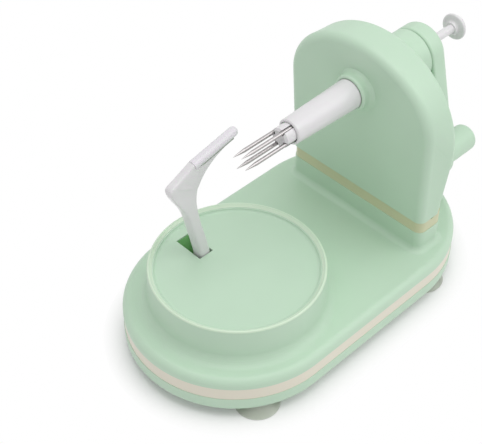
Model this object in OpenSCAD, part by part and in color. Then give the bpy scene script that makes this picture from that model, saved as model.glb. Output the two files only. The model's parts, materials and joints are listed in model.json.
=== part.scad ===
// Hand cranked apple peeler, drawn in millimetres with +Z up.
// X runs across the base, +Y from the turntable end to the tower and crank.
// Heights are measured from the table, and Y from the turntable's axis until placed() shifts it.

/* [Base] */
// Width of the base across its round ends
base_w = 128; // [116:1:144]
// Distance between the centres of the two round ends
base_run = 96; // [88:1:112]
// Height of the tray above the table, on its suction feet
foot_h = 6; // [4:0.5:9]
// Height of the lower tray
tray_h = 9.5; // [8:0.5:13]
// Height of the pale band around the base
base_trim_h = 8.5; // [6:0.5:12]
// Height of the top shell's side, up to the deck
deck_side_h = 6; // [5:0.5:9]
// Wall of the moulded shells
wall = 2.5; // [2:0.1:3.2]
// Wall of the pale bands
trim_wall = 3; // [2.5:0.1:4]
// How far the pale bands lie behind the shells
trim_inset = 0.3; // [0:0.1:1]
// Radius of the tray's bottom edge
tray_edge_r = 3; // [1:0.5:4]
// Radius of the deck's edge
deck_edge_r = 4.5; // [2:0.5:5]

/* [Suction feet] */
// Radius of each suction foot at the table
foot_r = 13; // [9:0.5:14]
// Radius of the stud that plugs into the tray
foot_stud_r = 4; // [3:0.5:5]
// Overhang of the stud's head
foot_head_lap = 2; // [1:0.5:3]
// Distance of the front feet from the base's edge
front_foot_in = 9.6; // [9:0.1:16]
// Angle of the front feet around the front end
front_foot_turn = 31.1; // [10:0.1:50]
// Distance of the rear feet from the base's edge
rear_foot_in = 12.5; // [10:0.1:18]
// Angle of the rear feet around the rear end
rear_foot_turn = 16.1; // [5:0.1:40]

/* [Drum and turntable] */
// How far the drum's axis lies behind the centre of the round front end
drum_offset = 1.8; // [0:0.1:4]
// Outer radius of the drum's rim
drum_r = 50.2; // [47:0.1:53]
// Height of the drum's rim above the deck
drum_h = 23.6; // [18:0.2:32]
// Thickness of the drum's wall
drum_wall = 2.2; // [2:0.1:3]
// How much wider the drum is at its foot
drum_draft = 1; // [0:0.1:2]
// Radius of the fillet at the drum's foot
drum_fillet_r = 6.6; // [3:0.2:8]
// Depth of the disc below the rim
disc_drop = 3.2; // [2:0.1:6]
// Thickness of the disc
disc_t = 3; // [2.6:0.1:4]
// Gap between the disc and the drum
disc_gap = 0.4; // [0.3:0.1:1]
// Width of the drum's rim beside the disc
rim_w = 1.3; // [1.2:0.1:1.8]
// Depth of the drum's inner step below its rim
step_h = 3; // [2.6:0.1:4]
// Width of the lip around the disc
lip_w = 1.8; // [1:0.1:3]
// Depth of the lip below the drum's rim
lip_drop = 1.5; // [0.3:0.1:1.6]
// Gap between the slot's outer end and the arm at the end of its swing
slot_gap = 0.7; // [0.5:0.1:5]
// Depth of the skirt under the slot
skirt_h = 4.2; // [2:0.2:5]
// Wall of the skirt
skirt_wall = 1.5; // [1.2:0.1:1.6]
// Radius of the turntable's post
post_r = 5; // [4:0.25:6]
// Wall of the hub that turns on the post
hub_wall = 4; // [3:0.25:5]
// Radius of the flange that carries the disc
flange_r = 17.5; // [16:0.5:18]
// Thickness of that flange
flange_t = 3.6; // [3:0.1:5]
// Radius of the circle that the turntable screws stand on
flange_circle = 14; // [13:0.25:14.5]

/* [Tower] */
// Room between the idler gear and the tower's side walls at the spring of the arch
tower_side_gap = 10.35; // [5:0.01:14]
// How much narrower the tower is at its foot
tower_taper = 9; // [0:0.5:12]
// Thickness of the tower from front to back
tower_t = 16.5; // [16:0.5:24]
// Distance from the turntable's axis to the middle of the tower
tower_y = 106; // [102:0.5:114]
// Room between the spindle gear and the tower's arch
tower_top_gap = 3.55; // [1:0.05:12]
// Rise of the tower's arch
arch_rise = 55; // [40:0.5:58]
// Rise of the arch at the tower's front
front_arch_rise = 43; // [40:0.5:58]
// How much narrower each side of the tower is at the front
front_in = 3.6; // [0:0.1:6]
// How far the foot of the tower's front stands over its band
front_lead = 0.8; // [0:0.1:2]
// Forward lean of the tower's front in degrees
front_lean = 3.2; // [0:0.1:5]
// Wall of the tower's sides and arch
skin = 3.5; // [3:0.1:4]
// Radius of the tower's front edge
front_edge_r = 5; // [2:0.5:6]
// Radius of the tower's rear edge
rear_edge_r = 3; // [1:0.5:3]
// Thickness of the pedestal and of its band from front to back
pedestal_t = 20.5; // [18:0.5:26]
// Radius of the corners of the pedestal and of the band
corner_r = 5; // [3:0.5:6]
// Height of the pedestal above the deck
pedestal_h = 14.3; // [12:0.1:18]
// Radius of the fillet at the pedestal's foot
pedestal_fillet_r = 4; // [2:0.5:5]
// Height of the pale band around the tower
tower_trim_h = 8.5; // [6:0.5:12]
// Width of the notch at each end of that band
notch_w = 2.4; // [1.5:0.1:4]
// Height of that notch
notch_h = 1.4; // [1:0.1:3]
// Thickness of the rear cover
cover_t = 3; // [2.5:0.1:4]
// Reach of the collar in front of the tower
collar_len = 11; // [8:0.5:14]
// Reach of the boss behind the tower
boss_len = 24; // [16:0.5:28]
// Radius of the fillet at the boss's foot
boss_fillet_r = 7; // [3:0.5:7.5]

/* [Spindle and fork] */
// Height of the spindle's axis
spindle_z = 126; // [110:0.5:140]
// Distance from the turntable's axis to the mouth of the spindle tube
mouth_y = 38.2; // [34:0.1:46]
// Radius of the spindle tube at its mouth
mouth_r = 7.6; // [7.4:0.1:8.5]
// How much wider the spindle tube is at its root
tube_flare = 1.4; // [1:0.1:2]
// Radius of the spindle in its bushes
journal_r = 8; // [7.8:0.1:8.4]
// Wall of the two bushes
bush_wall = 1.8; // [1.5:0.1:2.4]
// Wall of the collar around the front bush
collar_wall = 1; // [0.8:0.1:2]
// Reach of the prongs in front of the mouth
prong_reach = 36.5; // [30:0.5:38]
// Radius of the circle that the prongs stand on
prong_circle = 4.75; // [4.5:0.05:4.9]
// Radius of one prong
prong_r = 1.1; // [0.9:0.05:1.15]
// Length of a prong's point
prong_point = 8; // [4:0.5:12]
// Length of prong that is held in the spindle
prong_hold = 16; // [10:0.5:24]
// Depth of the pocket in the mouth
pocket_len = 10.4; // [8:0.2:14]
// Angle of the first prong at rest
prong_turn = 68; // [0:1:90]

/* [Crank] */
// Distance from the spindle to the grip
crank_len = 72; // [60:1:80]
// Angle of the resting crank from straight down
crank_angle = 17.7; // [0:0.1:40]
// Radius of the crank's hub and of the boss in front of it
hub_r = 16; // [15:0.5:18]
// Radius of the crank's lower end
crank_end_r = 11.6; // [10:0.2:13]
// Thickness of the crank
crank_t = 12; // [10:0.5:14]
// Side of the square that drives the crank
square_side = 11; // [10:0.5:11]
// Radius of the grip
grip_r = 8.6; // [7.5:0.1:10]
// Length of the grip
grip_len = 25; // [20:0.5:40]
// Radius of the grip's axle
grip_axle_r = 2.5; // [2:0.1:3]
// Radius of the axle's head
grip_head_r = 4; // [3.5:0.1:4.4]

/* [Ejector] */
// Free length of the ejector rod behind the crank
ejector_free = 24; // [23:0.5:30]
// Radius of the ejector rod
rod_r = 2.65; // [2.4:0.05:2.75]
// Radius of the knob
knob_r = 8.2; // [7:0.1:10]
// Thickness of the knob with its neck
knob_t = 6; // [5:0.5:9]
// Reach of the pusher in front of the mouth
pusher_reach = 7.4; // [4:0.2:12]

/* [Peeler arm] */
// Distance from the turntable's axis to the resting arm
arm_x = 24; // [23:0.5:26]
// Width of the arm's stem
stem_w = 8; // [6:0.2:9]
// Thickness of the arm's stem
stem_t = 8; // [6:0.2:9]
// Angle that the arm swings outwards
arm_swing = 28; // [15:1:28]
// Depth of the arm's hinge under the disc
pivot_drop = 15.4; // [13:0.2:16]
// Radius of the hinge pin
pivot_r = 1.5; // [1.2:0.1:1.8]
// Thickness of the ears that hold the hinge pin
ear_t = 2.8; // [2:0.2:4]
// Radius of the arm spring's coil
spring_r = 3.4; // [3:0.1:4]
// Radius of the arm spring's wire
spring_wire_r = 0.55; // [0.4:0.05:0.6]
// Height of the blade bar's root below the spindle's axis
bar_below = 11.7; // [10.5:0.05:15]
// Length of the blade bar
bar_len = 32.5; // [30:0.5:36]
// Rise of the blade bar
bar_tilt = 12.4; // [10:0.1:15]
// Thickness of the blade bar across the arm
bar_w = 5.6; // [5:0.1:6]
// Height of the blade bar
bar_h = 4.8; // [4:0.1:5]
// Radius of the blade bar's edges
bar_edge_r = 2; // [1:0.1:2]
// Gap between the blade bar and its seat on the arm
seat_gap = 0.1; // [0.05:0.05:0.3]
// Thickness of the blade
blade_t = 0.5; // [0.3:0.05:0.8]
// Radius of the rivets that hold the blade
rivet_r = 0.6; // [0.4:0.05:0.7]

/* [Drive] */
// Teeth on the spindle gear
spindle_teeth = 28; // [26:1:28]
// Teeth on the idler gear
idler_teeth = 54; // [52:1:55]
// Teeth on the layshaft gear
lay_teeth = 16; // [14:1:18]
// Teeth on the worm wheel
wheel_teeth = 36; // [30:1:40]
// Face width of the tower's gears
gear_w = 6; // [4:0.5:6.5]
// Face width of the worm wheel
wheel_w = 5; // [4:0.5:6]
// Pitch radius of the worm
worm_r = 6.2; // [5.8:0.1:6.6]
// Length of the worm
worm_len = 24; // [20:1:28]
// Radius of the layshaft
shaft_r = 2.5; // [2:0.1:3]
// Wall of the layshaft's bearing blocks
bearing_wall = 3.5; // [2.5:0.1:4.5]
// Width of the front bearing block
bearing_w = 6; // [4:0.5:8]
// Width of the rear bearing block
rear_bearing_w = 5; // [3:0.5:5]
// Radius of the idler's axle
axle_r = 3; // [2.5:0.1:3.5]
// Play between the teeth of two tower gears
tooth_play = 0.35; // [0.2:0.05:0.5]
// Play between the worm and its wheel
worm_play = 0.45; // [0.35:0.05:0.6]

/* [Screws] */
// Core radius of the screws
screw_r = 1.5; // [1.2:0.1:1.7]
// Radius of the screw heads
screw_head_r = 2.9; // [2.4:0.1:3]
// Height of the screw heads
screw_head_t = 1.7; // [1.2:0.1:1.8]
// Length of the tray screws
tray_screw_len = 14.4; // [10:0.2:18]
// Length of the rear cover's screws
cover_screw_len = 11.9; // [9:0.1:13]
// Length of the screws that hold the tower
tower_screw_len = 18.5; // [17:0.5:20]
// Distance of the tray screws' columns from the base's wall
column_in = 2.9; // [1:0.1:5]
// Angle of the front columns around the front end
front_column_turn = 56.8; // [45:0.1:70]
// Angle of the rear columns around the rear end
rear_column_turn = 68; // [50:0.5:80]
// Distance of the rear cover's screws from the tower's wall
cover_screw_in = 13; // [8:0.5:18]
// Depth of the rear cover's screws below the spring of the arch
cover_screw_drop = 7; // [2:0.5:12]

/* [Clearances] */
// Radial play of a shaft that turns in its bore
run_gap = 0.05; // [0.02:0.01:0.1]
// Radial play of a piece that is fixed in another
fix_gap = 0.01; // [0.01:0.01:0.04]
// Play of a piece that slides past another
slide_gap = 0.35; // [0.3:0.05:0.5]
// Gap between faces that pass each other
face_gap = 0.3; // [0.25:0.05:0.5]

/* [Hidden] */
$fn = 96;
base_r = base_w / 2;
floor_z = foot_h + wall;
trim_z = foot_h + tray_h;
shell_z = trim_z + base_trim_h;
deck_z = shell_z + deck_side_h;
under_deck = deck_z - wall;
rim_z = deck_z + drum_h;
disc_z = rim_z - disc_drop;
disc_under = disc_z - disc_t;
lip_z = rim_z - lip_drop;
drum_in = drum_r - drum_wall;
disc_r = drum_in - disc_gap;
lap_r = drum_r - rim_w - disc_gap;
band_z = deck_z + pedestal_h;
tower_z = band_z + tower_trim_h;
tower_f = tower_y - tower_t / 2;
tower_b = tower_y + tower_t / 2;
inner_f = tower_f + wall;
pedestal_y = tower_f + pedestal_t / 2;
cover_f = tower_b - cover_t;

// Drive: the layshaft clears the floor, and the module follows from the height that is left
lean = 38;
tooth_top = 0.95;
gear_m = (spindle_z - floor_z - 1)
    / ((spindle_teeth + idler_teeth + (idler_teeth + lay_teeth) * cos(lean) + lay_teeth) / 2 + 1);
lay_z = floor_z + 1 + gear_m * (lay_teeth / 2 + 1);
idler_z = spindle_z - gear_m * (spindle_teeth + idler_teeth) / 2;
lay_x = gear_m * (idler_teeth + lay_teeth) / 2 * sin(lean);
function gear_out(teeth) = gear_m * (teeth / 2 + tooth_top);
half_w = gear_out(idler_teeth) + tower_side_gap + skin;
foot_w = half_w - tower_taper / 2;
tower_top = spindle_z + gear_out(spindle_teeth) + tower_top_gap + skin;
arch_z = tower_top - arch_rise;
gear_f = tower_y - gear_w / 2;
gear_b = tower_y + gear_w / 2;
wheel_r = lay_x - worm_r;
worm_pitch = 2 * PI * wheel_r / wheel_teeth;
wheel_m = worm_pitch / PI;
hub_out = post_r + hub_wall;
post_base_h = 5.5;
washer_t = 1.5;
idler_turn = 90 + 180 / idler_teeth;
lay_dir = lean - 90;
lay_turn = lay_dir + 180 - (idler_turn - lay_dir) * idler_teeth / lay_teeth + 180 / lay_teeth;

// Screw places: hole, counterbore and the columns that the screws go into
hole_r = screw_r + 0.2;
sink_r = screw_head_r + face_gap;
column_r = screw_r + 2.1;
end_column_r = screw_r + 1.2;
column_ring = base_r - wall - column_r - column_in;
function on_end(r, a, y) = [for (s = [1, -1]) [s * r * cos(a), y - drum_offset + r * sin(a)]];
column_spots = concat(on_end(column_ring, -front_column_turn, 0), on_end(column_ring, 0, base_run / 2),
    on_end(column_ring, rear_column_turn, base_run));
foot_spots = concat(on_end(base_r - front_foot_in, -front_foot_turn, 0),
    on_end(base_r - rear_foot_in, rear_foot_turn, base_run));
end_screw_x = foot_w - wall - screw_head_r - 0.4;
cover_screw_x = half_w - skin - cover_screw_in;
cover_screw_z = arch_z - cover_screw_drop;

// Spindle, crank and ejector, along Y
collar_y = tower_f - collar_len;
tube_root_y = collar_y - 0.5;
bush_out = journal_r + bush_wall;
collar_r = bush_out + collar_wall;
boss_y = tower_b + boss_len;
crank_y = boss_y + 2 * face_gap;
crank_b = crank_y + crank_t;
square_end = crank_b - 2.6;
bore_r = rod_r + slide_gap;
pocket_r = prong_circle + prong_r + slide_gap + 0.05;
pusher_r = pocket_r - slide_gap;
web_y = mouth_y + pocket_len;
knob_y = crank_b + ejector_free;
rod_end = knob_y + knob_t - 2;
grip_y = crank_b + face_gap;
part_end = max(knob_y + knob_t, grip_y + grip_len, base_run + base_r - drum_offset);
mid_y = (part_end - base_r - drum_offset) / 2;

// Peeler arm, hinged under the disc
pivot_z = disc_under - pivot_drop;
slot_in = arm_x - stem_t / 2 - 0.5;
slot_w = stem_w + 2;
stem_y = -4.8;
slot_y = stem_y - slot_w / 2 - 0.4;
ear_gap = 6.4;
bar_z = spindle_z - bar_below;
arm_y = stem_y + 3;
arm_k = (bar_z - disc_z) / 63.9;
bar_root_y = arm_y - 6.9 * arm_k;

// Outer end of the arm's slot, clear of the arm's outer face at the end of its swing
slot_out = -arm_x - (disc_z + 0.5 - pivot_z) * tan(arm_swing) - stem_t / 2 / cos(arm_swing) - slot_gap;

green = [0.72, 0.84, 0.745];
cream = [0.85, 0.815, 0.775];
white = [0.92, 0.91, 0.925];
steel = [0.72, 0.72, 0.74];
acetal = [0.90, 0.89, 0.86];
rubber = [0.74, 0.765, 0.725];

function arc(c, r, a0, a1, n = 8) =
    [for (i = [0:n]) let (a = a0 + (a1 - a0) * i / n) [c[0] + r * cos(a), c[1] + r * sin(a)]];

// Outline of a rounded rectangle about the origin
function soft_box(w, d, r) = concat(
    arc([w / 2 - r, d / 2 - r], r, 0, 90), arc([r - w / 2, d / 2 - r], r, 90, 180),
    arc([r - w / 2, r - d / 2], r, 180, 270), arc([w / 2 - r, r - d / 2], r, 270, 360));

// Outline of the tower in X and Z, drawn in by a margin on its sides and arch, at its rear with s = 0 and
// at its front with s = 1. The arch runs on below its spring until it meets the leaning sides
function tower_line(m, s = 0, base = tower_z) = let (
    w = half_w - s * front_in, rise = arch_rise + s * (front_arch_rise - arch_rise), z = tower_top - rise,
    tilt = atan((w - foot_w) / (z - tower_z))) concat(
    [[foot_w - m, base]],
    [for (i = [0:40]) let (a = (180 + 2 * tilt) * i / 40 - tilt) [(w - m) * cos(a), z + (rise - m) * sin(a)]],
    [[m - foot_w, base]]);

// How far the leaning front stands forward at a height
function front_shift(z) = front_lead + (z - tower_z) * tan(front_lean);

// Solid through rows of the tower's outline from the rear to the front. A row is its Y, margin and s
module tower_loft(rows, base = tower_z) {
    pts = [for (q = rows) each [for (p = tower_line(q[1], q[2], base))
        [p[0], q[0] - q[2] * front_shift(p[1]), p[1]]]];
    polyhedron(pts, tube_faces(len(rows), len(tower_line(0))));
}

// Involute gear outline with a tooth on +X and play left on both flanks
function flank(rb, r) = let (t = sqrt(max(0, pow(r / rb, 2) - 1))) t * 180 / PI - atan(t);
function gear_line(n, m, play) = let (
    r = n * m / 2, rb = r * cos(20), ro = r + tooth_top * m, rf = r - 1.25 * m,
    half = 90 / n - play / r * 90 / PI + flank(rb, r),
    rs = [max(rf, rb), (max(rf, rb) + r) / 2, r, (r + ro) / 2, ro])
    [for (k = [0:n - 1]) let (c = 360 * k / n) each concat(
        [[rf * cos(c - half), rf * sin(c - half)]],
        [for (q = rs) let (a = c - half + flank(rb, q)) [q * cos(a), q * sin(a)]],
        [for (i = [4:-1:0]) let (q = rs[i], a = c + half - flank(rb, q)) [q * cos(a), q * sin(a)]],
        [[rf * cos(c + half), rf * sin(c + half)]])];

module placed() { translate([0, -mid_y, 0]) children(); }

// Turns a half section, drawn as radius and height, into a solid with two round ends
module pill() translate([0, -drum_offset, 0]) {
    rotate([0, 0, 180]) rotate_extrude(angle = 180) children();
    translate([0, base_run, 0]) rotate_extrude(angle = 180) children();
    translate([0, base_run, 0]) rotate([90, 0, 0]) linear_extrude(base_run) {
        children();
        mirror([1, 0]) children();
    }
}

// Turns a half section, drawn as radius and Y, about the spindle's axis
module about_spindle() {
    translate([0, 0, spindle_z]) rotate([-90, 0, 0]) rotate_extrude() children();
}

// A round bar along Y from y0 to y1
module bar_y(x, z, r, y0, y1) {
    translate([x, y0, z]) rotate([-90, 0, 0]) cylinder(r = r, h = y1 - y0);
}

// A round bar along Z from z0 to z1
module bar_z(x, y, r, z0, z1) {
    translate([x, y, z0]) cylinder(r = r, h = z1 - z0);
}

module sleeve_y(r_in, r_out, y0, y1) about_spindle()
    polygon([[r_in, y0], [r_out, y0], [r_out, y1], [r_in, y1]]);

module tower_gear(x, z, teeth, turn) {
    translate([x, gear_b, z]) rotate([90, 0, 0]) rotate([0, 0, turn])
        linear_extrude(gear_w) polygon(gear_line(teeth, gear_m, tooth_play));
}

// A tube of wire along a list of points
module wire(path, r, sides = 8) {
    n = len(path);
    pts = [for (i = [0:n - 1]) let (
        d = path[min(i + 1, n - 1)] - path[max(i - 1, 0)], t = d / norm(d),
        g = abs(t[1]) < 0.9 ? [0, 1, 0] : [1, 0, 0], u0 = cross(t, g), u = u0 / norm(u0), v = cross(t, u))
        each [for (k = [0:sides - 1]) path[i] + r * (u * cos(360 * k / sides) + v * sin(360 * k / sides))]];
    polyhedron(pts, tube_faces(n, sides));
}

function tube_faces(n, sides) = concat(
    [[for (k = [0:sides - 1]) k]],
    [for (i = [0:n - 2]) for (k = [0:sides - 1]) let (a = i * sides, b = a + sides, k2 = (k + 1) % sides)
        each [[a + k, b + k, b + k2], [a + k, b + k2, a + k2]]],
    [[for (k = [sides - 1:-1:0]) (n - 1) * sides + k]]);

// Base

module base_tray() color(green) {
    difference() {
        pill() polygon(concat([[0, foot_h]],
            arc([base_r - tray_edge_r, foot_h + tray_edge_r], tray_edge_r, -90, 0),
            [[base_r, trim_z], [0, trim_z]]));
        pill() polygon([[0, floor_z], [base_r - wall - 1, floor_z], [base_r - wall, floor_z + 1],
            [base_r - wall, trim_z + 1], [0, trim_z + 1]]);
        for (p = foot_spots) bar_z(p[0], p[1], foot_stud_r, foot_h - 1, floor_z + 1);
        for (p = column_spots) {
            bar_z(p[0], p[1], sink_r, foot_h - 1, foot_h + screw_head_t - 0.5);
            bar_z(p[0], p[1], hole_r, foot_h - 1, floor_z + 1);
        }
    }
    difference() {
        bar_z(0, 0, post_r + 5, floor_z, floor_z + post_base_h);
        bar_z(0, 0, post_r, floor_z + 0.5, floor_z + post_base_h + 1);
    }
}

module base_trim_band() color(cream) pill() translate([base_r - trim_inset - trim_wall, trim_z])
    square([trim_wall, base_trim_h]);

// Half section of a concave fillet that stands on a floor at 0 against a wall at 0
function foot_line(r) = concat([[-1, -1], [r, -1]], arc([r, r], r, 270, 190),
    [[-0.3, 1.1 * r], [-1, 1.1 * r]]);

module pedestal_foot() {
    line = foot_line(pedestal_fillet_r);
    for (s = [-1, 1]) translate([corner_r - foot_w, pedestal_y + s * pedestal_t / 2, deck_z])
        rotate([90, 0, 90]) linear_extrude(2 * (foot_w - corner_r))
            polygon([for (q = line) [s * q[0], q[1]]]);
    for (s = [-1, 1]) translate([s * foot_w, pedestal_y + pedestal_t / 2 - corner_r, deck_z])
        rotate([90, 0, 0]) linear_extrude(pedestal_t - 2 * corner_r)
            polygon([for (q = line) [s * q[0], q[1]]]);
    for (s = [-1, 1], t = [-1, 1])
        translate([s * (foot_w - corner_r), pedestal_y + t * (pedestal_t / 2 - corner_r), deck_z])
            rotate_extrude()
            polygon(concat([[0, -1]], [for (q = line) if (q[0] > -1) [q[0] + corner_r, q[1]]],
                [[0, 1.1 * pedestal_fillet_r]]));
}

module base_top_shell() color(green) {
    foot = drum_r + drum_draft;
    difference() {
        union() {
            pill() polygon(concat([[0, shell_z], [base_r, shell_z]],
                arc([base_r - deck_edge_r, deck_z - deck_edge_r], deck_edge_r, 0, 90), [[0, deck_z]]));
            rotate_extrude() polygon(concat([[0, deck_z - 1], [foot + drum_fillet_r, deck_z - 1]],
                arc([foot + drum_fillet_r, deck_z + drum_fillet_r], drum_fillet_r, 270, 180),
                arc([drum_r - 1, rim_z - 1], 1, 0, 90, 4), [[0, rim_z]]));
            translate([0, pedestal_y, deck_z - 1]) linear_extrude(pedestal_h + 1)
                polygon(soft_box(2 * foot_w, pedestal_t, corner_r));
            pedestal_foot();
        }
        pill() polygon([[0, shell_z - 1], [base_r - wall, shell_z - 1], [base_r - wall, under_deck - 2],
            [base_r - wall - 2, under_deck], [0, under_deck]]);
        bar_z(0, 0, drum_in, shell_z, rim_z + 1);
        bar_z(0, 0, drum_r - rim_w, rim_z - step_h, rim_z + 1);
        translate([0, pedestal_y, shell_z]) linear_extrude(band_z - 4 - shell_z)
            polygon(soft_box(2 * (foot_w - wall), pedestal_t - 2 * wall, corner_r - wall));
        band_window(band_z - 5, band_z + 1);
        for (s = [-1, 1]) bar_z(s * end_screw_x, tower_y, hole_r, band_z - 10, band_z + 1);
    }
    for (p = column_spots) difference() {
        bar_z(p[0], p[1], column_r, floor_z, under_deck + 1);
        bar_z(p[0], p[1], screw_r, floor_z - 1, under_deck);
    }
}

// Way through the pedestal's top and through the band, between the two end screws
module band_window(z0, z1) {
    translate([0, (inner_f + cover_f) / 2, z0]) linear_extrude(z1 - z0)
        polygon(soft_box(2 * (end_screw_x - screw_head_r - 0.3), cover_f - inner_f, corner_r - wall));
}

module suction_foot(p) color(rubber) translate([p[0], p[1], 0]) rotate_extrude()
    polygon([[0, foot_h * 0.6], [foot_r * 0.5, foot_h * 0.45], [foot_r * 0.75, foot_h * 0.22],
        [foot_r - 1.2, 0], [foot_r, 0], [foot_r, 0.8], [foot_r * 0.8, foot_h * 0.42],
        [foot_r * 0.64, foot_h * 0.75], [foot_r * 0.6, foot_h], [foot_stud_r - fix_gap, foot_h],
        [foot_stud_r - fix_gap, floor_z], [foot_stud_r + foot_head_lap, floor_z],
        [foot_stud_r + foot_head_lap, floor_z + 1], [foot_stud_r + 0.5, floor_z + 2], [0, floor_z + 2]]);

// Cross recess of a screw head that faces down, with its top at the origin
module cross_recess() for (a = [0, 90]) rotate([0, 0, a]) translate([-1.9, -0.35, -1]) cube([3.8, 0.7, 1.8]);

module tray_screws() color(steel) for (p = column_spots) translate([0, 0, foot_h - 0.5]) difference() {
    union() {
        bar_z(p[0], p[1], screw_head_r, 0, screw_head_t);
        bar_z(p[0], p[1], screw_r - fix_gap, 0.5, tray_screw_len);
    }
    translate([p[0], p[1], 0]) cross_recess();
}

// Tower

module tower_trim_band() color(cream) difference() {
    translate([0, pedestal_y, band_z]) linear_extrude(tower_trim_h)
        polygon(soft_box(2 * (foot_w - trim_inset), pedestal_t - 2 * trim_inset, corner_r));
    band_window(band_z - 1, tower_z + 1);
    for (s = [-1, 1]) {
        bar_z(s * end_screw_x, tower_y, hole_r, band_z - 1, tower_z + 1);
        translate([s * (foot_w - trim_inset), pedestal_y, tower_z])
            cube([2 * notch_h, notch_w, 2 * notch_h], center = true);
    }
}

module tower_housing() color(green) difference() {
    face_y = tower_f - front_shift(spindle_z);
    flare_r = face_y - collar_y - 0.6;
    union() {
        tower_loft(concat(
            [for (t = [0:22.5:90]) [tower_b - rear_edge_r * (1 - cos(t)), rear_edge_r * (1 - sin(t)), 0]],
            [for (t = [90:-11.25:0])
                [tower_f + front_edge_r * (1 - cos(t)), front_edge_r * (1 - sin(t)), 1]]));
        about_spindle() polygon(concat(
            [[0, collar_y], [collar_r - 0.6, collar_y], [collar_r, collar_y + 0.6]],
            arc([collar_r + flare_r, face_y + 1 - flare_r], flare_r, 180, 100),
            [[collar_r + flare_r * 0.8, face_y + 2], [0, face_y + 2]]));
    }
    difference() {
        tower_loft([[tower_b + 5, skin, 0], [cover_f - 1, skin, 0], [inner_f, skin, 1]], tower_z - 1);
        bar_y(0, idler_z, 2 * axle_r, face_y, gear_f - 1.6);
        for (s = [-1, 1]) {
            bar_y(s * cover_screw_x, cover_screw_z, column_r + 0.4, face_y, cover_f);
            bar_z(s * end_screw_x, tower_y, end_column_r, tower_z - 2, tower_z + 9);
        }
    }
    bar_y(0, spindle_z, bush_out, collar_y - 1, inner_f + 1);
    bar_y(0, idler_z, axle_r, tower_f + 1.2, inner_f + 10);
    for (s = [-1, 1]) {
        bar_y(s * cover_screw_x, cover_screw_z, screw_r, tower_f + 4, tower_b);
        bar_z(s * end_screw_x, tower_y, screw_r, tower_z - 2, tower_z + 8);
    }
}

module tower_rear_cover() color(green) difference() {
    union() {
        translate([0, tower_b, 0]) rotate([90, 0, 0]) linear_extrude(cover_t)
            polygon([for (q = tower_line(skin + 0.25)) [q[0], max(q[1], tower_z + face_gap)]]);
        about_spindle() polygon(concat([[0, cover_f], [hub_r + boss_fillet_r, cover_f]],
            arc([hub_r + boss_fillet_r, tower_b + boss_fillet_r], boss_fillet_r, 270, 180),
            [[hub_r, boss_y - 0.6], [hub_r - 0.6, boss_y], [0, boss_y]]));
        bar_y(0, idler_z, 2 * axle_r, gear_b + 1.6, tower_b - 1);
    }
    bar_y(0, spindle_z, bush_out, cover_f - 1, boss_y + 1);
    bar_y(0, idler_z, axle_r, tower_y, tower_b - 1.2);
    for (s = [-1, 1]) {
        bar_y(s * cover_screw_x, cover_screw_z, hole_r, cover_f - 1, tower_b + 1);
        bar_y(s * cover_screw_x, cover_screw_z, sink_r, tower_b - screw_head_t - 0.1, tower_b + 1);
    }
}

module tower_cover_screws() color(steel) for (s = [-1, 1]) translate([s * cover_screw_x, 0, cover_screw_z])
    difference() {
        union() {
            bar_y(0, 0, screw_r - fix_gap, tower_b - 0.1 - cover_screw_len, tower_b - 0.5);
            bar_y(0, 0, screw_head_r, tower_b - screw_head_t - 0.1, tower_b - 0.1);
        }
        translate([0, tower_b - 0.1, 0]) rotate([90, 0, 0]) cross_recess();
    }

module tower_base_screws() color(steel) for (s = [-1, 1]) {
    bar_z(s * end_screw_x, tower_y, screw_head_r, band_z - 4 - screw_head_t, band_z - 4);
    bar_z(s * end_screw_x, tower_y, screw_r - fix_gap, band_z - 5, band_z - 4 + tower_screw_len);
}

module spindle_front_bush() color(acetal)
    sleeve_y(journal_r + run_gap, bush_out - fix_gap, collar_y + face_gap, inner_f + 1);

module spindle_rear_bush() color(acetal)
    sleeve_y(journal_r + run_gap, bush_out - fix_gap, cover_f, boss_y - 0.4);

module idler_axle() color(steel) bar_y(0, idler_z, axle_r - fix_gap, tower_f + 1.3, tower_b - 1.3);

module bearing_block(y0, y1) difference() {
    out = shaft_r + bearing_wall;
    translate([lay_x - out, y0, floor_z]) cube([2 * out, y1 - y0, lay_z + out - floor_z]);
    bar_y(lay_x, lay_z, shaft_r + run_gap, y0 - 1, y1 + 1);
}

module layshaft_front_bearing() color(acetal)
    bearing_block(-worm_len / 2 - bearing_w - 2, -worm_len / 2 - 2);

module layshaft_rear_bearing() color(acetal) bearing_block(gear_b + 2 * face_gap,
    gear_b + 2 * face_gap + rear_bearing_w);

// Turntable bearing

post_top = disc_under - 4.9;

module turntable_post() color(steel) difference() {
    bar_z(0, 0, post_r - fix_gap, floor_z + 0.5, post_top);
    bar_z(0, 0, post_r / 2, post_top - 13, post_top + 1);
}

module turntable_post_screw() color(steel) {
    bar_z(0, 0, post_r / 2 - fix_gap, post_top - 10, post_top + 0.5);
    bar_z(0, 0, post_r + 2, post_top + 0.1, disc_under - 2.4);
}

module thrust_washer() color(acetal) difference() {
    bar_z(0, 0, hub_out, floor_z + post_base_h, floor_z + post_base_h + washer_t);
    bar_z(0, 0, post_r + 2 * run_gap, floor_z, floor_z + post_base_h + washer_t + 1);
}

// Spindle and fork

module spindle_tube() color(white) difference() {
    union() {
        about_spindle() polygon([[0, mouth_y], [mouth_r - 0.6, mouth_y], [mouth_r, mouth_y + 0.6],
            [mouth_r + tube_flare, tube_root_y - 0.8], [mouth_r + tube_flare - 0.6, tube_root_y],
            [journal_r, tube_root_y], [journal_r, boss_y - 0.2], [0, boss_y - 0.2]]);
        translate([-square_side / 2, boss_y - 1, spindle_z - square_side / 2])
            cube([square_side, square_end - boss_y + 1, square_side]);
    }
    bar_y(0, spindle_z, bore_r, mouth_y - 1, crank_b + 1);
    bar_y(0, spindle_z, pocket_r, mouth_y - 1, web_y);
    for (k = [0:3]) prong_at(k) bar_z(0, 0, prong_r, prong_reach, prong_reach + pocket_len + prong_hold);
}

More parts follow.
